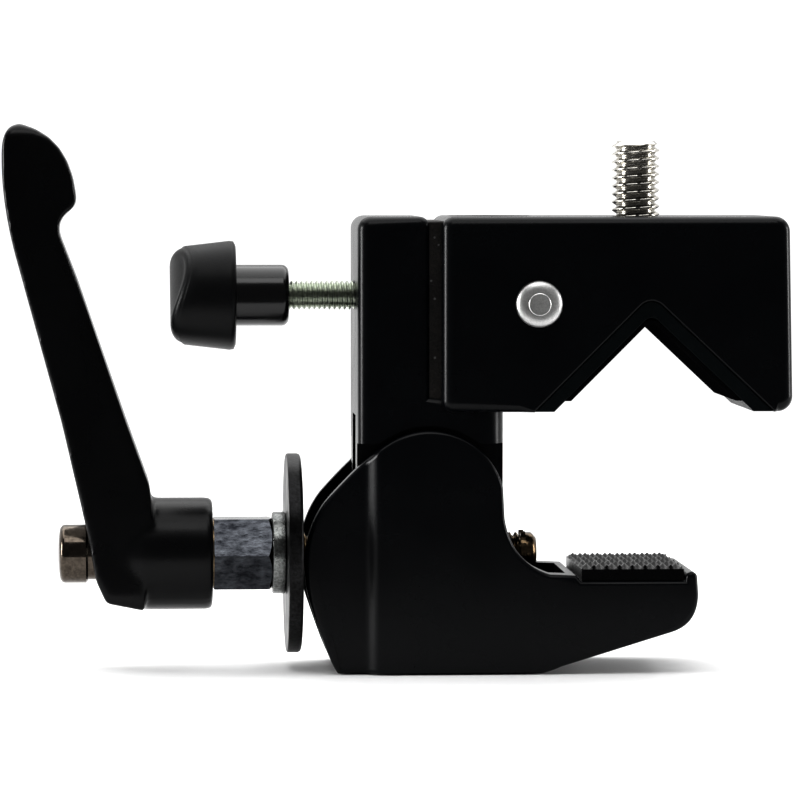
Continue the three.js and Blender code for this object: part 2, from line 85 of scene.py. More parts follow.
# The casting: the rear block with its leg, and the V block
BODY_TOP = casting_high.z
BLOCK_BOTTOM = insert_low.z - 0.1
BLOCK_HALF = casting_high.y
REAR_HALF = BLOCK_HALF - 2
LEG_BOTTOM = casting_low.z
REAR_LEFT = casting_low.x
REAR_RIGHT = REAR_LEFT + 14.3
BLOCK_LEFT = REAR_LEFT + 16.5
LEG_RIGHT = REAR_LEFT + 28.9
BLOCK_RIGHT = casting_high.x
BLOCK_DRAFT = 0.7        # how far the V block's right side leans in at the top
REAR_OVERLAP = 3         # how far the rear block starts above the V block's bottom
TONGUE_HALF = 11.6       # half the leg's thickness between the jaw's cheeks
SHOULDER_Z = 45.4
REAR_SLOT_HALF = 5.5
REAR_SLOT_DEPTH = 3
SPINDLE_BORE = 4.1
LOCK_BORE = 3.05
PIN_BORE = 4.1
BUTTON_CLEARANCE = 0.15

# The V throat and the spigot's socket
THROAT_X = 49.7
THROAT_APEX = 74.6
THROAT_RIGHT_RUN = 1.06  # the right flank's run for each millimetre that it rises
APEX_RADIUS = 3
INSERT_THICK = 2.6
LINING_THICK = 0.9
SOCKET_X = REAR_LEFT + 27.05
SOCKET_FLATS = 16.2
SOCKET_FLOOR = 57

# The jaw
CHEEK_RADIUS = jaw_high.z - PIVOT.z
CHEEK_INNER = 12.1
CAM_BASE = 11.9          # radius of the involute's base circle
CAM_REACH = 24.6         # from the pivot to the washer's face, with the jaw at rest
CAM_CLOSED = 0.7353      # the jaw's turn at either end of its travel, in radians
CAM_OPEN = -0.32
CROWN_START = 0.25       # the crown's arc, in radians about the pivot
CROWN_END = 2.06
CROWN_ROOM = 0.9
CHANNEL_END = 33.2
CHANNEL_FLOOR = 2.2
SPINDLE_RELIEF_START = 8
SPINDLE_RELIEF_END = 27.5
SPINDLE_RELIEF_FLOOR = 0.9
SPINDLE_RELIEF_HALF = 7

# The washers and the spindle's hexagon
WASHER_BORE = 4.4
HEX_LEFT = -36.15
HEX_RIGHT = -24.65
HEX_FLATS = 14.0


# ---------------------------------------------------------------- shape tools

def mesh_object(name, bm):
    mesh = bpy.data.meshes.new(name)
    bmesh.ops.recalc_face_normals(bm, faces=bm.faces)
    bm.to_mesh(mesh)
    bm.free()
    obj = bpy.data.objects.new(name, mesh)
    bpy.context.scene.collection.objects.link(obj)
    return obj


def arc_outline(corners, arc_steps=10):
    """Points [x, z, edge] through corners (x, z, radius, edge), with an arc where a radius is given.
    edge is how far the long edge there is rounded."""
    points = []
    count = len(corners)
    for i, (x, z, radius, edge) in enumerate(corners):
        here = Vector((x, z))
        back = (Vector(corners[i - 1][:2]) - here).normalized()
        on = (Vector(corners[(i + 1) % count][:2]) - here).normalized()
        if radius == 0:
            points.append([x, z, edge])
            continue
        half = back.angle(on) / 2
        centre = here + (back + on).normalized() * radius / math.sin(half)
        start = here + back * radius / math.tan(half) - centre
        end = here + on * radius / math.tan(half) - centre
        turn = start.angle_signed(end)
        for k in range(arc_steps + 1):
            spoke = Matrix.Rotation(-turn * k / arc_steps, 2) @ start
            points.append([centre.x + spoke.x, centre.y + spoke.y, edge])
    return points


def curve_points(start, control, end, steps):
    """Points of a quadratic curve, without its first one."""
    points = []
    for k in range(1, steps + 1):
        t = k / steps
        weights = ((1 - t) ** 2, 2 * t * (1 - t), t ** 2)
        points.append([sum(w * p[i] for w, p in zip(weights, (start, control, end))) for i in (0, 1)])
    return points


def inward(points):
    """Unit steps into a closed anticlockwise outline at each point, longer at sharp corners."""
    steps = []
    count = len(points)
    for i in range(count):
        before, here, after = (Vector(points[k % count][:2]) for k in (i - 1, i, i + 1))
        first = (here - before).normalized()
        second = (after - here).normalized()
        normal = Vector((-first.y - second.y, first.x + second.x)).normalized()
        cosine = max(normal.dot(Vector((-first.y, first.x))), 0.5)
        steps.append(normal / cosine)
    return steps


def area(points):
    count = len(points)
    return sum(points[i - 1][0] * points[i][1] - points[i][0] * points[i - 1][1] for i in range(count)) / 2


def rounded_prism(name, points, low, high, round_steps=6):
    """An outline in X and Z from y = low to y = high, with its long edges rounded."""
    if area(points) < 0:
        points = points[::-1]
    steps = inward(points)
    bm = bmesh.new()
    rings = []
    for side, y_face in ((1, low), (-1, high)):
        levels = range(round_steps + 1)
        for k in (levels if side == 1 else reversed(levels)):
            angle = math.pi / 2 * k / round_steps
            ring = []
            for (x, z, edge), step in zip(points, steps):
                inset = edge * (1 - math.sin(angle))
                y = y_face + side * edge * (1 - math.cos(angle))
                ring.append(bm.verts.new((x + step.x * inset, y, z + step.y * inset)))
            rings.append(ring)
    count = len(points)
    for lower, upper in zip(rings, rings[1:]):
        for i in range(count):
            j = (i + 1) % count
            bm.faces.new((lower[i], lower[j], upper[j], upper[i]))
    bm.faces.new(rings[0])
    bm.faces.new(rings[-1])
    return mesh_object(name, bm)


def box_object(name, low, high):
    bm = bmesh.new()
    bmesh.ops.create_cube(bm, size=1)
    size = Vector(high) - Vector(low)
    bmesh.ops.scale(bm, vec=size, verts=bm.verts)
    bmesh.ops.translate(bm, vec=(Vector(high) + Vector(low)) / 2, verts=bm.verts)
    return mesh_object(name, bm)


AXIS_TURN = {
    "X": Matrix.Rotation(math.pi / 2, 4, "Y"),
    "Y": Matrix.Rotation(-math.pi / 2, 4, "X"),
    "Z": Matrix.Identity(4),
}


def turned(name, rings, axis, centre, steps=96):
    """A closed turned piece. rings are (radius, along) pairs, or functions of the angle that
    give them; the first and last close on the axis unless the profile closes on itself."""
    bm = bmesh.new()
    closed = rings[0] == rings[-1]
    if closed:
        rings = rings[:-1]
    rows = []
    for ring in rings:
        radius_at = ring if callable(ring) else (lambda angle, ring=ring: ring)
        if not callable(ring) and ring[0] == 0:
            rows.append([bm.verts.new((0, 0, ring[1]))])
            continue
        row = []
        for k in range(steps):
            angle = 2 * math.pi * k / steps
            radius, along = radius_at(angle)
            row.append(bm.verts.new((radius * math.cos(angle), radius * math.sin(angle), along)))
        rows.append(row)
    pairs = list(zip(rows, rows[1:]))
    if closed:
        pairs.append((rows[-1], rows[0]))
    for lower, upper in pairs:
        for k in range(steps):
            m = (k + 1) % steps
            if len(lower) == 1:
                bm.faces.new((lower[0], upper[m], upper[k]))
            elif len(upper) == 1:
                bm.faces.new((lower[k], lower[m], upper[0]))
            else:
                bm.faces.new((lower[k], lower[m], upper[m], upper[k]))
    bmesh.ops.transform(bm, matrix=Matrix.Translation(centre) @ AXIS_TURN[axis], verts=bm.verts)
    return mesh_object(name, bm)


def cylinder(name, radius, low, high, axis, centre):
    return turned(name, [(0, low), (radius, low), (radius, high), (0, high)], axis, centre, 64)


def thread_rings(radius, pitch, low, high, chamfer=0.8):
    """Rings of a right-hand screw thread between two places along its axis."""
    depth = 0.58 * pitch
    per_pitch = 10
    count = round((high - low) / pitch * per_pitch)

    def ring_at(along):
        def ring(angle):
            phase = (along / pitch - angle / (2 * math.pi)) % 1
            slope = min(max((abs(2 * phase - 1) - 0.14) / 0.7, 0), 1)
            end = min(along - low, high - along)
            limit = radius - max(chamfer - end, 0)
            return min(radius - depth * (1 - slope), limit), along
        return ring
    return [ring_at(low + (high - low) * k / count) for k in range(count + 1)]


def apply_modifiers(obj):
    graph = bpy.context.evaluated_depsgraph_get()
    mesh = bpy.data.meshes.new_from_object(obj.evaluated_get(graph))
    obj.modifiers.clear()
    obj.data = mesh


def combine(obj, others, operation):
    """Joins or cuts obj with the others, which are used up."""
    for other in others:
        modifier = obj.modifiers.new("boolean", "BOOLEAN")
        modifier.operation = operation
        modifier.solver = "EXACT"
        modifier.object = other
        apply_modifiers(obj)
        bpy.data.objects.remove(other)


def soften(obj, width, segments=3, angle=38):
    """Small rounds on every sharp edge."""
    bm = bmesh.new()
    bm.from_mesh(obj.data)
    many_sided = [face for face in bm.faces if len(face.verts) > 4]
    bmesh.ops.triangulate(bm, faces=many_sided)
    bm.to_mesh(obj.data)
    bm.free()
    modifier = obj.modifiers.new("bevel", "BEVEL")
    modifier.width = width
    modifier.segments = segments
    modifier.limit_method = "ANGLE"
    modifier.angle_limit = math.radians(angle)
    modifier.harden_normals = False
    apply_modifiers(obj)


def finish_piece(obj, body, slot, finish, *nodes, smooth_angle=35):
    """Scales to metres, shades flat faces flat and rounds smooth, and gives body and finish. slot is not
    used.
    """
    obj.data.transform(Matrix.Scale(MM, 4))
    for polygon in obj.data.polygons:
        polygon.use_smooth = True
    obj.data.set_sharp_from_angle(angle=math.radians(smooth_angle))
    weighted = obj.modifiers.new("weighted_normal", "WEIGHTED_NORMAL")
    weighted.keep_sharp = True
    weighted.weight = 100
    apply_modifiers(obj)
    obj.data.materials.clear()
    obj.data.materials.append(finish)
    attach(obj, body)
    if nodes:
        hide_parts(*nodes)
    return obj


# ---------------------------------------------------------------- materials

def add_node(tree, kind, inputs=None, **settings):
    node = tree.nodes.new(kind)
    for key, value in settings.items():
        setattr(node, key, value)
    for key, value in (inputs or {}).items():
        if isinstance(value, bpy.types.NodeSocket):
            tree.links.new(value, node.inputs[key])
        else:
            node.inputs[key].default_value = value
    return node


def material(name, dark, light, rough, metallic, grain, bump, specks=0.0, speck_light=0.3,
             stretch=(1, 1, 1), cloud=60.0, ior=1.5, shine=0.5):
    """A surface whose colour and roughness drift over it, with fine relief and pale specks.
    grain is the relief's size and bump its height, in millimetres. specks is the share of the
    surface's cells that hold one."""
    result = bpy.data.materials.new(name)
    result.use_nodes = True
    tree = result.node_tree
    tree.nodes.clear()
    place = add_node(tree, "ShaderNodeTexCoord").outputs["Object"]
    stretched = add_node(tree, "ShaderNodeMapping", {"Vector": place, "Scale": stretch}).outputs[0]
    fine = add_node(tree, "ShaderNodeTexNoise", {
        "Vector": stretched, "Scale": 1 / (grain * MM), "Detail": 3.0, "Roughness": 0.6}).outputs["Fac"]
    broad = add_node(tree, "ShaderNodeTexNoise", {
        "Vector": place, "Scale": cloud, "Detail": 4.0, "Roughness": 0.55}).outputs["Fac"]
    mixed = add_node(tree, "ShaderNodeMath", {0: fine, 1: broad}, operation="MULTIPLY").outputs[0]
    colour = add_node(tree, "ShaderNodeValToRGB", {"Fac": mixed})
    colour.color_ramp.elements[0].position = 0.12
    colour.color_ramp.elements[0].color = (*dark, 1)
    colour.color_ramp.elements[1].position = 0.42
    colour.color_ramp.elements[1].color = (*light, 1)
    base = colour.outputs["Color"]
    if specks > 0:
        cells = add_node(tree, "ShaderNodeTexVoronoi", {"Vector": place, "Scale": 420.0, "Randomness": 1.0})
        near = add_node(tree, "ShaderNodeMath", {0: cells.outputs["Distance"], 1: 0.1}, operation="LESS_THAN")
        chosen = add_node(tree, "ShaderNodeMath", {0: cells.outputs["Color"], 1: 1 - specks},
                          operation="GREATER_THAN")
        mask = add_node(tree, "ShaderNodeMath", {0: near.outputs[0], 1: chosen.outputs[0]},
                        operation="MULTIPLY").outputs[0]
        blend = add_node(tree, "ShaderNodeMixRGB", {"Fac": mask, "Color1": base})
        blend.inputs["Color2"].default_value = (speck_light, speck_light, speck_light, 1)
        base = blend.outputs["Color"]
    roughness = add_node(tree, "ShaderNodeMapRange", {
        "Value": broad, "From Min": 0.3, "From Max": 0.7, "To Min": rough[0], "To Max": rough[1]}).outputs[0]
    relief = add_node(tree, "ShaderNodeBump", {"Height": fine, "Strength": 1.0, "Distance": bump * MM})
    shader = add_node(tree, "ShaderNodeBsdfPrincipled", {
        "Base Color": base, "Roughness": roughness, "Normal": relief.outputs[0],
        "Metallic": metallic, "IOR": ior, "Specular IOR Level": shine})
    output = add_node(tree, "ShaderNodeOutputMaterial", {"Surface": shader.outputs[0]})
    output.target = "ALL"
    return result


black_paint = material(
    "black_paint", dark=(0.001, 0.0013, 0.002), light=(0.002, 0.0025, 0.0034),
    rough=(0.22, 0.3), metallic=0.0, grain=0.35, bump=0.003, specks=0.05, speck_light=0.1, ior=1.26)
rough_cast = material(
    "rough_cast", dark=(0.0015, 0.0015, 0.0015), light=(0.022, 0.019, 0.017),
    rough=(0.4, 0.65), metallic=0.0, grain=0.4, bump=0.16, specks=0.45, speck_light=0.1, ior=1.3)
lever_paint = material(
    "lever_paint", dark=(0.001, 0.0011, 0.0014), light=(0.002, 0.0022, 0.0027),
    rough=(0.24, 0.32), metallic=0.0, grain=0.3, bump=0.004, ior=1.28)
insert_plastic = material(
    "insert_plastic", dark=(0.0025, 0.0037, 0.0042), light=(0.005, 0.0068, 0.0076),
    rough=(0.36, 0.46), metallic=0.0, grain=0.4, bump=0.01, ior=1.24, shine=0.15)
lining_rubber = material(
    "lining_rubber", dark=(0.0016, 0.0016, 0.0018), light=(0.004, 0.004, 0.0044),
    rough=(0.6, 0.75), metallic=0.0, grain=0.3, bump=0.02, shine=0.0)
rubber = material(
    "rubber", dark=(0.0008, 0.0008, 0.001), light=(0.002, 0.002, 0.0024),
    rough=(0.22, 0.3), metallic=0.0, grain=0.25, bump=0.012, ior=1.25, shine=0.2)
knob_plastic = material(
    "black_plastic", dark=(0.002, 0.0022, 0.0026), light=(0.005, 0.0053, 0.006),
    rough=(0.34, 0.44), metallic=0.0, grain=0.28, bump=0.03, ior=1.26)
gloss_plastic = material(
    "gloss_plastic", dark=(0.0012, 0.0012, 0.0016), light=(0.0025, 0.0025, 0.003),
    rough=(0.14, 0.2), metallic=0.0, grain=1.2, bump=0.004)
bright_steel = material(
    "bright_steel", dark=(0.42, 0.405, 0.37), light=(0.68, 0.665, 0.63),
    rough=(0.14, 0.26), metallic=1.0, grain=0.5, bump=0.004)
turned_steel = material(
    "turned_steel", dark=(0.5, 0.5, 0.495), light=(0.76, 0.76, 0.75),
    rough=(0.36, 0.48), metallic=1.0, grain=0.3, bump=0.008)
zinc = material(
    "zinc", dark=(0.07, 0.073, 0.073), light=(0.36, 0.37, 0.36),
    rough=(0.2, 0.36), metallic=1.0, grain=0.5, bump=0.03, cloud=180.0)
greenish_zinc = material(
    "greenish_zinc", dark=(0.26, 0.29, 0.235), light=(0.52, 0.55, 0.48),
    rough=(0.22, 0.36), metallic=1.0, grain=0.5, bump=0.006)
black_zinc = material(
    "black_zinc", dark=(0.012, 0.013, 0.016), light=(0.1, 0.106, 0.118),
    rough=(0.14, 0.24), metallic=1.0, grain=0.9, bump=0.05, stretch=(0.5, 1, 1), cloud=220.0)
black_steel = material(
    "black_steel", dark=(0.003, 0.003, 0.003), light=(0.026, 0.026, 0.027),
    rough=(0.28, 0.45), metallic=0.9, grain=0.6, bump=0.04, cloud=140.0)
dark_nickel = material(
    "dark_nickel", dark=(0.06, 0.05, 0.041), light=(0.17, 0.145, 0.12),
    rough=(0.12, 0.2), metallic=1.0, grain=0.8, bump=0.003)
brass = material(
    "brass", dark=(0.05, 0.035, 0.022), light=(0.3, 0.22, 0.13),
    rough=(0.2, 0.34), metallic=1.0, grain=0.6, bump=0.01)


# ---------------------------------------------------------------- body

def throat(inset, foot_lift, apex_radius, edge):
    """Corners of the V, from its left foot over the apex to its right foot."""
    apex = THROAT_APEX - inset * math.sqrt(2)
    foot = BLOCK_BOTTOM + foot_lift
    rise = apex - foot
    return [
        (THROAT_X - rise, foot, 0, edge),
        (THROAT_X, apex, apex_radius, edge),
        (THROAT_X + rise * THROAT_RIGHT_RUN, foot, 0, edge),
    ]


def socket_cut():
    corner = SOCKET_FLATS / math.sqrt(3)
    socket = turned("socket", [(0, SOCKET_FLOOR), (corner, SOCKET_FLOOR),
                               (corner, BODY_TOP + 2 * PAST), (0, BODY_TOP + 2 * PAST)],
                    "Z", Vector((0, 0, 0)), 6)
    socket.data.transform(Matrix.Translation((SOCKET_X, 0, 0)) @ Matrix.Rotation(math.pi / 2, 4, "Z"))
    return socket


def button_cut():
    """A wide bore for the button, a narrow one for its pin, and a seat for the clip."""
    head, shank, seat = BUTTON_RADIUS + BUTTON_CLEARANCE, 2.75, 4.6
    head_floor, seat_floor, past_side = -9.5, 13.5, 18
    return turned("button_bore", [
        (0, -past_side), (head, -past_side), (head, head_floor), (shank, head_floor),
        (shank, seat_floor), (seat, seat_floor), (seat, past_side), (0, past_side)], "Y", SAFETY, 64)


def body_casting():
    left_foot, apex, right_foot = throat(0, 0, APEX_RADIUS, 0.5)
    block = rounded_prism("body_casting_paint", arc_outline([
        (BLOCK_LEFT, BLOCK_BOTTOM, 2.2, 2.2),
        (left_foot[0] - 3, BLOCK_BOTTOM, 0, 1.6), left_foot, apex, right_foot,
        (right_foot[0] + 0.6, BLOCK_BOTTOM, 0, 1.4),
        (BLOCK_RIGHT, BLOCK_BOTTOM, 3, 2.0),
        (BLOCK_RIGHT - BLOCK_DRAFT, BODY_TOP, 3, 2.0),
        (BLOCK_LEFT, BODY_TOP, 2.4, 2.2),
    ]), -BLOCK_HALF, BLOCK_HALF)
    rear = rounded_prism("rear", arc_outline([
        (REAR_LEFT, LEG_BOTTOM, 3, 2.4), (LEG_RIGHT, LEG_BOTTOM, 4.6, 4.2),
        (LEG_RIGHT, BLOCK_BOTTOM + REAR_OVERLAP, 0, 4.2),
        (REAR_RIGHT, BLOCK_BOTTOM + REAR_OVERLAP, 0, 1.8),
        (REAR_RIGHT, BODY_TOP, 2.2, 1.8), (REAR_LEFT, BODY_TOP, 2.6, 2.4),
    ]), -REAR_HALF, REAR_HALF)
    combine(block, [rear], "UNION")

    cuts = []
    for low, high in ((-BLOCK_HALF - PAST, -TONGUE_HALF), (TONGUE_HALF, BLOCK_HALF + PAST)):
        cuts.append(box_object("relief", (REAR_LEFT - 5 * PAST, low, LEG_BOTTOM - 5 * PAST),
                               (LEG_RIGHT + 5 * PAST, high, SHOULDER_Z)))
        cuts.append(cylinder("crown", CHEEK_RADIUS + CROWN_ROOM, low, high, "Y", PIVOT))
    cuts.append(box_object("rear_slot", (REAR_LEFT - PAST, -REAR_SLOT_HALF, LEG_BOTTOM - PAST),
                           (REAR_LEFT + REAR_SLOT_DEPTH, REAR_SLOT_HALF, BLOCK_BOTTOM - 1)))
    cuts.append(cylinder("spindle_bore", SPINDLE_BORE, REAR_LEFT - PAST, LEG_RIGHT + PAST, "X", SPINDLE_LINE))
    cuts.append(cylinder("lock_bore", LOCK_BORE, REAR_LEFT - PAST, SOCKET_X, "X", LOCK_LINE))
    cuts.append(socket_cut())
    cuts.append(button_cut())
    combine(block, cuts, "DIFFERENCE")
    soften(block, 0.35)
    return finish_piece(block, "clamp_body", "black_paint", black_paint, "body_casting")


def cast_strip():
    """The rough strip left between the rear block and the V block."""
    into_blocks = 1.5
    strip = box_object("rough_cast_strip",
                       (REAR_RIGHT - into_blocks, 1 - REAR_HALF, BLOCK_BOTTOM - 0.3),
                       (BLOCK_LEFT + into_blocks, REAR_HALF - 1, BODY_TOP - 0.9))
    bore = cylinder("lock_bore", LOCK_BORE, REAR_LEFT - PAST, SOCKET_X, "X", LOCK_LINE)
    combine(strip, [bore], "DIFFERENCE")
    soften(strip, 0.5)
    return finish_piece(strip, "clamp_body", "black_paint", rough_cast)


def v_layer(name, inset, thickness, foot_lift, half_width, edge):
    """A layer of even thickness inside the V, inset from the casting's flanks."""
    outer = throat(inset, foot_lift, APEX_RADIUS, edge)
    inner = throat(inset + thickness, foot_lift, 1.8, edge)
    return rounded_prism(name, arc_outline(outer + inner[::-1]), -half_width, half_width, 3)


def v_insert():
    layer = v_layer("v_insert_plastic", 0.05, INSERT_THICK, 0.1, BLOCK_HALF - 0.15, 0.25)
    return finish_piece(layer, "clamp_body", "insert_plastic", insert_plastic, "v_insert")


def v_lining():
    layer = v_layer("v_lining_strip", INSERT_THICK, LINING_THICK, 2.2, BLOCK_HALF - 0.3, 0.2)
    return finish_piece(layer, "clamp_body", "rubber", lining_rubber, "v_lining")


def top_stud():
    radius = (stud_high.x - stud_low.x) / 2
    pitch = 25.4 / 16
    rings = [(0, stud_low.z)] + thread_rings(radius, pitch, stud_low.z, stud_high.z, 0.9)
    rings.append((0, stud_high.z))
    stud = turned("top_stud_thread", rings, "Z", Vector((STUD_X, 0, 0)))
    return finish_piece(stud, "clamp_body", "bright_steel", bright_steel, "top_stud", smooth_angle=50)


# ---------------------------------------------------------------- jaw

def cam_point(angle):
    """A point of the cheek's involute back, from the pivot."""
    reach = CAM_REACH - CAM_BASE * angle
    return [PIVOT.x - reach * math.cos(angle) - CAM_BASE * math.sin(angle),
            PIVOT.z + reach * math.sin(angle) - CAM_BASE * math.cos(angle)]


def crown_blend():
    """Where the crown's end tangent meets the washer's face, with the jaw turned as far as it closes."""
    crown_end = CHEEK_RADIUS * Vector((math.cos(CROWN_END), math.sin(CROWN_END)))
    tangent = Vector((-math.sin(CROWN_END), math.cos(CROWN_END)))
    towards_washer = Vector((-math.cos(CAM_CLOSED), math.sin(CAM_CLOSED)))
    face_distance = CAM_REACH - CAM_BASE * CAM_CLOSED
    along = (face_distance - towards_washer.dot(crown_end)) / towards_washer.dot(tangent)
    meeting = crown_end + tangent * along
    return [PIVOT.x + meeting.x, PIVOT.z + meeting.y]


def jaw_outline():
    """The jaw's side view: floor, sloped underside, nose, pad seat, hollow, crown, cam back, heel."""
    heel, heel_corner, floor_end = [-11.9, 0], [-13.1, 0.6], [28, 0]
    slope_start, slope_end, nose = [32, 1.3], [53.9, 8], [59.2, 15.6]
    lip_x, lip_z, lip_radius = 57.8, 18.8, 1.2
    seat_z, seat_gap = 18.2, 0.15
    hollow_start, hollow_end = [29.8, 19.6], [20.8, 30.6]
    points = [heel, floor_end]
    points += curve_points(floor_end, [29.8, 0.3], slope_start, 8)
    points += [slope_end]
    points += curve_points(slope_end, [nose[0], 9.6], nose, 14)
    points += [[lip_x + lip_radius, lip_z]]
    for k in range(1, 10):
        angle = math.pi * k / 9
        points.append([lip_x + lip_radius * math.cos(angle), lip_z + lip_radius * math.sin(angle)])
    points += [[pad_high.x + seat_gap, seat_z], [pad_low.x - seat_gap, seat_z], [34.8, 19.4], hollow_start]
    points += curve_points(hollow_start, [22.2, 22], hollow_end, 14)
    for k in range(33):
        angle = CROWN_START + (CROWN_END - CROWN_START) * k / 32
        points.append([PIVOT.x + CHEEK_RADIUS * math.cos(angle), PIVOT.z + CHEEK_RADIUS * math.sin(angle)])
    points += curve_points(points[-1], crown_blend(), cam_point(CAM_CLOSED), 16)
    for k in range(1, 25):
        points.append(cam_point(CAM_CLOSED + (CAM_OPEN - CAM_CLOSED) * k / 24))
    points += curve_points(points[-1], heel_corner, heel, 12)[:-1]
    rim = 0.9
    return [[x, z, rim] for x, z in points]


def step_back_in(jaw, left, right, slices=12):
    """Brings the jaw's back in to the rear block's width, over an S-shaped step between two places."""
    depth = BLOCK_HALF - REAR_HALF
    bm = bmesh.new()
    bm.from_mesh(jaw.data)
    for k in range(slices + 1):
        x = left + (right - left) * k / slices
        bmesh.ops.bisect_plane(bm, geom=bm.verts[:] + bm.edges[:] + bm.faces[:],
                               plane_co=(x, 0, 0), plane_no=(1, 0, 0))
    for vertex in bm.verts:
        part = min(max((vertex.co.x - left) / (right - left), 0), 1)
        rise = part * part * (3 - 2 * part)
        vertex.co.y -= math.copysign(depth * (1 - rise), vertex.co.y)
    bm.to_mesh(jaw.data)
    bm.free()


def lower_jaw():
    jaw = rounded_prism("lower_jaw_paint", jaw_outline(), -BLOCK_HALF, BLOCK_HALF, 4)
    step_back_in(jaw, -7.0, -3.6)
    left_of_jaw, over_jaw = -30, 70
    combine(jaw, [
        box_object("channel", (left_of_jaw, -CHEEK_INNER, CHANNEL_FLOOR),
                   (CHANNEL_END, CHEEK_INNER, over_jaw)),
        box_object("spindle_relief", (SPINDLE_RELIEF_START, -SPINDLE_RELIEF_HALF, SPINDLE_RELIEF_FLOOR),
                   (SPINDLE_RELIEF_END, SPINDLE_RELIEF_HALF, CHANNEL_FLOOR + PAST)),
        cylinder("pin_bore", PIN_BORE, -CHEEK_INNER - 3.5, BLOCK_HALF + 2 * PAST, "Y", PIVOT),
    ], "DIFFERENCE")
    soften(jaw, 0.3)
    return finish_piece(jaw, "jaw", "black_paint", black_paint, "lower_jaw")


def jaw_pad():
    """The pad's top is covered by staggered four-sided points."""
    pitch_x, pitch_y, height = 2.54, 7.2, 1.1
    steps_per_pitch = 8
    sunk = 0.25
    bm = bmesh.new()
    nx = round((pad_high.x - pad_low.x) / pitch_x) * steps_per_pitch
    ny = round((pad_high.y - pad_low.y) / pitch_y) * steps_per_pitch
    grid = []
    base = pad_high.z - height
    for i in range(nx + 1):
        x = pad_low.x + (pad_high.x - pad_low.x) * i / nx
        row = []
        for j in range(ny + 1):
            y = pad_low.y + (pad_high.y - pad_low.y) * j / ny
            across = (x - pad_low.x) / pitch_x
            along = (y - pad_low.y) / pitch_y
            first = abs(((across + along) % 1) * 2 - 1)
            second = abs(((across - along) % 1) * 2 - 1)
            rim = min(i, nx - i, j, ny - j)
            lift = height * min(first, second) * (0 if rim == 0 else 1)
            row.append(bm.verts.new((x, y, base + lift)))
        grid.append(row)
    for i in range(nx):
        for j in range(ny):
            bm.faces.new((grid[i][j], grid[i + 1][j], grid[i + 1][j + 1], grid[i][j + 1]))
    border = ([grid[i][0] for i in range(nx + 1)] + [grid[nx][j] for j in range(1, ny + 1)]
              + [grid[i][ny] for i in range(nx - 1, -1, -1)] + [grid[0][j] for j in range(ny - 1, 0, -1)])
    bottom = [bm.verts.new((v.co.x, v.co.y, pad_low.z - sunk)) for v in border]
    count = len(border)
    for k in range(count):
        m = (k + 1) % count
        bm.faces.new((border[k], bottom[k], bottom[m], border[m]))
    bm.faces.new(bottom)
    return finish_piece(mesh_object("jaw_pad_knurl", bm), "jaw", "rubber", rubber, "jaw_pad", smooth_angle=20)


# ---------------------------------------------------------------- spindle and washers

def hexagon_head():
    corner = HEX_FLATS / math.sqrt(3)
    chamfer_radius = 8.4
    hexagon = turned("spindle_hex", [(0, HEX_LEFT), (corner, HEX_LEFT), (corner, HEX_RIGHT), (0, HEX_RIGHT)],
                     "X", Vector((0, 0, 0)), 6)
    hexagon.data.transform(Matrix.Translation(SPINDLE_LINE) @ Matrix.Rotation(math.pi / 2, 4, "X"))
    cone = turned("cone", [
        (0, HEX_LEFT), (chamfer_radius - 0.5, HEX_LEFT), (chamfer_radius, HEX_LEFT + 0.5),
        (chamfer_radius, HEX_RIGHT - 0.9), (HEX_FLATS / 2, HEX_RIGHT), (0, HEX_RIGHT)], "X", SPINDLE_LINE)
    combine(hexagon, [cone], "INTERSECT")
    soften(hexagon, 0.12, 2)
    return finish_piece(hexagon, "screw", "zinc", black_zinc)


def spindle_rod():
    """The collar in the handle's hub, the thread, and the neck that the clip sits in."""
    collar, chamfer = 7, 0.6
    thread, pitch, core = 3.95, 1.25, 2.9
    neck_left, neck_right = clip_low.x - 0.1, clip_high.x + 0.1
    rings = [(0, spindle_low.x), (collar - chamfer, spindle_low.x), (collar, spindle_low.x + chamfer),
             (collar, HEX_LEFT + 0.6), (3.9, HEX_LEFT + 0.6)]
    rings += thread_rings(thread, pitch, HEX_RIGHT - 1, neck_left, 0.1)
    rings += [(core, neck_left), (core, neck_right), (3.9, neck_right),
              (thread, spindle_high.x - 1), (thread - 1, spindle_high.x), (0, spindle_high.x)]
    rod = turned("spindle_rod", rings, "X", SPINDLE_LINE)
    return finish_piece(rod, "screw", "brass", brass, "spindle", smooth_angle=50)


def pressure_washer():
    radius = (washer_high.z - washer_low.z) / 2
    left, right = washer_low.x, washer_high.x
    disc = turned("pressure_washer_disc", [
        (WASHER_BORE, left), (radius - 0.45, left), (radius - 0.12, left + 0.12), (radius, left + 0.45),
        (radius, right - 0.7), (radius - 0.2, right - 0.2), (radius - 0.7, right),
        (WASHER_BORE, right), (WASHER_BORE, left),
    ], "X", SPINDLE_LINE, 160)
    return finish_piece(disc, "washers", "black_steel", black_steel, "pressure_washer", smooth_angle=50)


def zinc_washer():
    radius = (zinc_high.z - zinc_low.z) / 2
    left, right = zinc_low.x - 0.25, zinc_high.x + 0.1
    disc = turned("zinc_washer_disc", [
        (WASHER_BORE, left), (radius - 0.3, left), (radius, left + 0.3), (radius, right - 0.2),
        (radius - 0.2, right), (WASHER_BORE, right), (WASHER_BORE, left),
    ], "X", SPINDLE_LINE)
    return finish_piece(disc, "washers", "zinc", zinc, "zinc_washer", smooth_angle=50)


# ---------------------------------------------------------------- handle

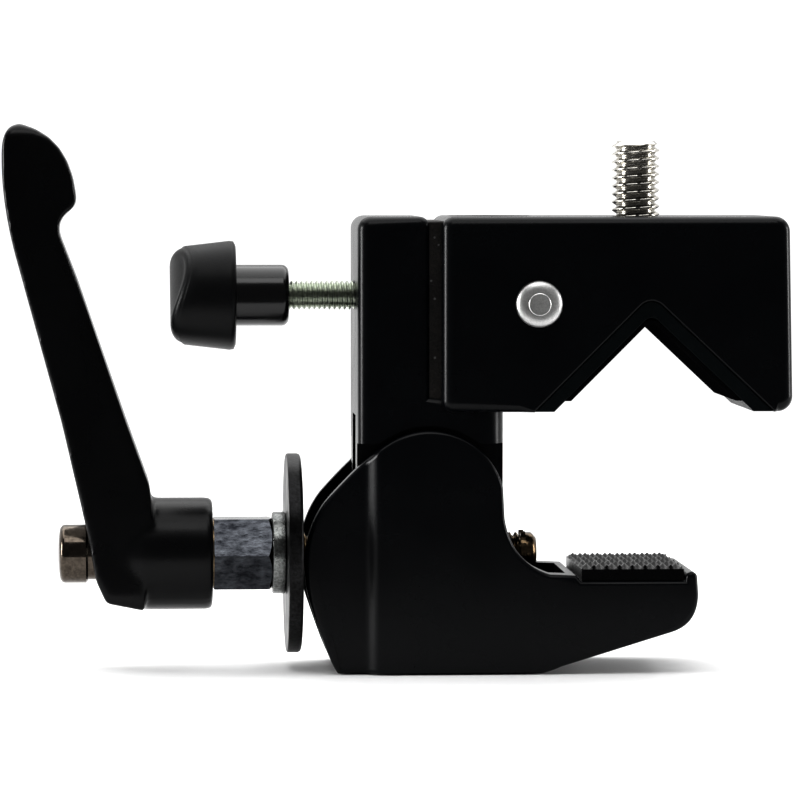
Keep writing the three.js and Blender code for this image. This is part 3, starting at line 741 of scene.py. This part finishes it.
def smoothed_copy(name, node, voxel, rounds):
    """A finer copy of a CAD solid with its edges worn round, as a die casting's are."""
    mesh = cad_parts[node].data.copy()
    mesh.transform(Matrix.Scale(1 / MM, 4))
    obj = bpy.data.objects.new(name, mesh)
    bpy.context.scene.collection.objects.link(obj)
    remesh = obj.modifiers.new("remesh", "REMESH")
    remesh.mode = "VOXEL"
    remesh.voxel_size = voxel
    smooth = obj.modifiers.new("smooth", "SMOOTH")
    smooth.factor = 0.5
    smooth.iterations = rounds
    apply_modifiers(obj)
    return obj


def handle():
    lever = smoothed_copy("handle_lever", "handle", voxel=0.42, rounds=22)
    return finish_piece(lever, "lever", "black_paint", lever_paint, "handle", smooth_angle=80)


def handle_screw():
    radius = (screw_high.z - screw_low.z) / 2
    collar, shank = 5.2, 2.5
    left = screw_low.x
    head_right = left + 6.1
    collar_right = head_right + 1.7
    rings = [(0, left)]
    for k in range(1, 6):
        part = k / 5
        rings.append(((radius - 0.7) * part, left + 0.55 * part ** 2))
    rings += [(radius - 0.15, left + 1.0), (radius, left + 1.5), (radius, head_right - 0.4),
              (radius - 0.4, head_right), (collar, head_right), (collar, collar_right), (shank, collar_right),
              (shank, screw_high.x), (0, screw_high.x)]
    screw = turned("handle_screw_head", rings, "X", SPINDLE_LINE)
    return finish_piece(screw, "screw", "dark_nickel", dark_nickel, "handle_screw", smooth_angle=40)


# ---------------------------------------------------------------- spigot lock

def lock_knob():
    left, right = knob_low.x, knob_high.x
    large = (knob_high.z - knob_low.z) / 2
    small = large - 1.5
    edge = 1.7
    scoop_depth = 4.2

    def scoop(radius, angle):
        # "X" turns the profile so that angle 0 points down and pi / 2 to the far side
        lean = math.cos(2 * (angle - math.pi / 4))
        return scoop_depth * (radius / small) ** 2 * (0.5 + 0.5 * lean)

    def face_ring(radius):
        return lambda angle: (radius, left + scoop(radius, angle))

    def edge_ring(turn):
        def ring(angle):
            radius = small - edge * (1 - math.sin(turn))
            return radius, left + scoop(small - edge, angle) + edge * (1 - math.cos(turn))
        return ring

    def side_ring(part):
        def ring(angle):
            start = left + scoop(small - edge, angle) + edge
            along = start + (right - 1.2 - start) * part
            return small + (large - small) * (along - left) / (right - left), along
        return ring

    rings = [(0, left)]
    rings += [face_ring((small - edge) * k / 12) for k in range(1, 13)]
    rings += [edge_ring(math.pi / 2 * k / 8) for k in range(1, 8)]
    rings += [side_ring(k / 6) for k in range(7)]
    rings += [(large - 0.25, right - 0.4), (large - 1.1, right), (0, right)]
    knob = turned("lock_knob_grip", rings, "X", LOCK_LINE, 128)
    return finish_piece(knob, "lock", "black_plastic", knob_plastic, "lock_knob", smooth_angle=60)


def lock_collar():
    radius = (collar_high.z - collar_low.z) / 2
    left, right = knob_high.x, collar_high.x
    nose, steps = 1.4, 6
    rings = [(0, left), (radius, left), (radius, right - nose)]
    for k in range(1, steps + 1):
        angle = math.pi / 2 * k / steps
        rings.append((radius - nose * (1 - math.cos(angle)), right - nose + nose * math.sin(angle)))
    rings.append((0, right))
    collar = turned("lock_collar_gloss", rings, "X", LOCK_LINE)
    return finish_piece(collar, "lock", "gloss_plastic", gloss_plastic, "lock_collar", smooth_angle=50)


def lock_screw():
    radius, pitch = 2.9, 1.0
    start = collar_high.x - 0.5
    rings = [(0, start)] + thread_rings(radius, pitch, start, lock_high.x, 0.5) + [(0, lock_high.x)]
    screw = turned("lock_screw_thread", rings, "X", LOCK_LINE)
    return finish_piece(screw, "lock", "zinc", greenish_zinc, "lock_screw", smooth_angle=50)


def safety_button():
    """A domed button with a flat centre, on a pin with a neck for the spigot and a groove for the clip."""
    face = button_low.y
    flat = BUTTON_RADIUS * 0.45
    dome_start, dome_face, dome_depth = flat + 0.15, face + 0.12, 1.35
    rings = [(0, face), (flat, face), (dome_start, dome_face)]
    for k in range(1, 9):
        angle = math.pi / 2 * k / 8
        rings.append((dome_start + (BUTTON_RADIUS - dome_start) * math.sin(angle),
                      dome_face + dome_depth * (1 - math.cos(angle))))
    head_back = -15.5
    shank, neck, groove = 2.6, 1.4, 1.9
    rings += [(BUTTON_RADIUS, head_back), (shank, head_back),
              (shank, -9), (neck, -8.4), (neck, 1.6), (shank, 2.2),
              (shank, 13.9), (groove, 13.9), (groove, 15.3), (shank, 15.3),
              (shank, 16.3), (shank - 0.3, 16.6), (0, 16.6)]
    button = turned("safety_button", rings, "Y", SAFETY)
    return finish_piece(button, "safety", "bright_steel", turned_steel, "safety_pin", smooth_angle=30)


# ---------------------------------------------------------------- camera, light and floor

def camera():
    """Looks at the clamp from the photograph's side, slightly from the left and above. In metres."""
    distance, azimuth, elevation = 0.95, math.radians(-3.5), math.radians(2.8)
    width_seen = 0.16
    target = Vector((1.15, 0, 53.3)) * MM
    back = Vector((math.sin(azimuth) * math.cos(elevation), -math.cos(azimuth) * math.cos(elevation),
                   math.sin(elevation)))
    data = bpy.data.cameras.new("camera")
    data.sensor_width = 36
    data.lens = data.sensor_width * distance / width_seen
    data.clip_start = 0.05
    data.clip_end = 20
    eye = bpy.data.objects.new("camera", data)
    eye.location = target + back * distance
    eye.rotation_mode = "QUATERNION"
    eye.rotation_quaternion = (-back).to_track_quat("-Z", "Y")
    bpy.context.scene.collection.objects.link(eye)
    bpy.context.scene.camera = eye


def area_light(name, place, aim, size, power):
    data = bpy.data.lights.new(name, "AREA")
    data.shape = "RECTANGLE"
    data.size, data.size_y = size
    data.energy = power
    light = bpy.data.objects.new(name, data)
    light.location = place
    light.rotation_mode = "QUATERNION"
    light.rotation_quaternion = (Vector(aim) - Vector(place)).to_track_quat("-Z", "Y")
    bpy.context.scene.collection.objects.link(light)


def studio():
    """Pale floor, a white room behind the clamp and a dim one on the camera's side, which black
    paint needs to stay black. Lengths here are metres."""
    dim, white = 0.13, 1.15
    floor_width, floor_centre_y, floor_drop = 3, 0.36, 0.0002
    middle = (0, 0, 0.05)
    world = bpy.data.worlds.new("studio")
    world.use_nodes = True
    tree = world.node_tree
    direction = add_node(tree, "ShaderNodeTexCoord").outputs["Generated"]
    depth = add_node(tree, "ShaderNodeSeparateXYZ", {0: direction}).outputs["Y"]
    brightness = add_node(tree, "ShaderNodeMapRange", {
        "Value": depth, "From Min": -0.35, "From Max": 0.3, "To Min": dim, "To Max": white}).outputs[0]
    background = tree.nodes["Background"]
    background.inputs["Color"].default_value = (1, 1, 1, 1)
    tree.links.new(brightness, background.inputs["Strength"])
    bpy.context.scene.world = world
    bpy.context.scene.view_settings.view_transform = "Standard"
    bpy.context.scene.view_settings.gamma = 0.8
    area_light("top", place=(0.0, 0.3, 0.95), aim=(0, 0.12, 0), size=(1.6, 1.3), power=15)
    area_light("front", place=(0, -0.5, 0.92), aim=middle, size=(0.6, 0.35), power=2.5)
    area_light("left", place=(-0.8, -0.06, 0.12), aim=middle, size=(0.22, 0.5), power=9)
    area_light("right", place=(0.8, -0.02, 0.12), aim=middle, size=(0.16, 0.5), power=5)
    bm = bmesh.new()
    bmesh.ops.create_grid(bm, x_segments=1, y_segments=1, size=0.5)
    bmesh.ops.scale(bm, vec=(floor_width, 1, 1), verts=bm.verts)
    floor = mesh_object("floor", bm)
    floor.data.materials.append(material(
        "floor", dark=(0.86, 0.86, 0.86), light=(0.9, 0.9, 0.9),
        rough=(0.7, 0.8), metallic=0.0, grain=2.0, bump=0.01))
    floor.location = (0, floor_centre_y, -floor_drop)


def dress_hidden_nodes():
    """CAD nodes whose own shape stays get a real material."""
    kept = {
        "pivot_pin": zinc, "spindle_clip": brass, "handle_washer": zinc, "handle_spring": zinc,
        "lock_tip": brass, "safety_spring": zinc, "safety_clip": black_steel,
    }
    for name, finish in kept.items():
        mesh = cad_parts[name].data
        mesh.materials.clear()
        mesh.materials.append(finish)


camera()
studio()
body_casting()
cast_strip()
v_insert()
v_lining()
top_stud()
lower_jaw()
jaw_pad()
hexagon_head()
spindle_rod()
pressure_washer()
zinc_washer()
handle()
handle_screw()
lock_knob()
lock_collar()
lock_screw()
safety_button()
dress_hidden_nodes()

bpy.context.view_layer.update()
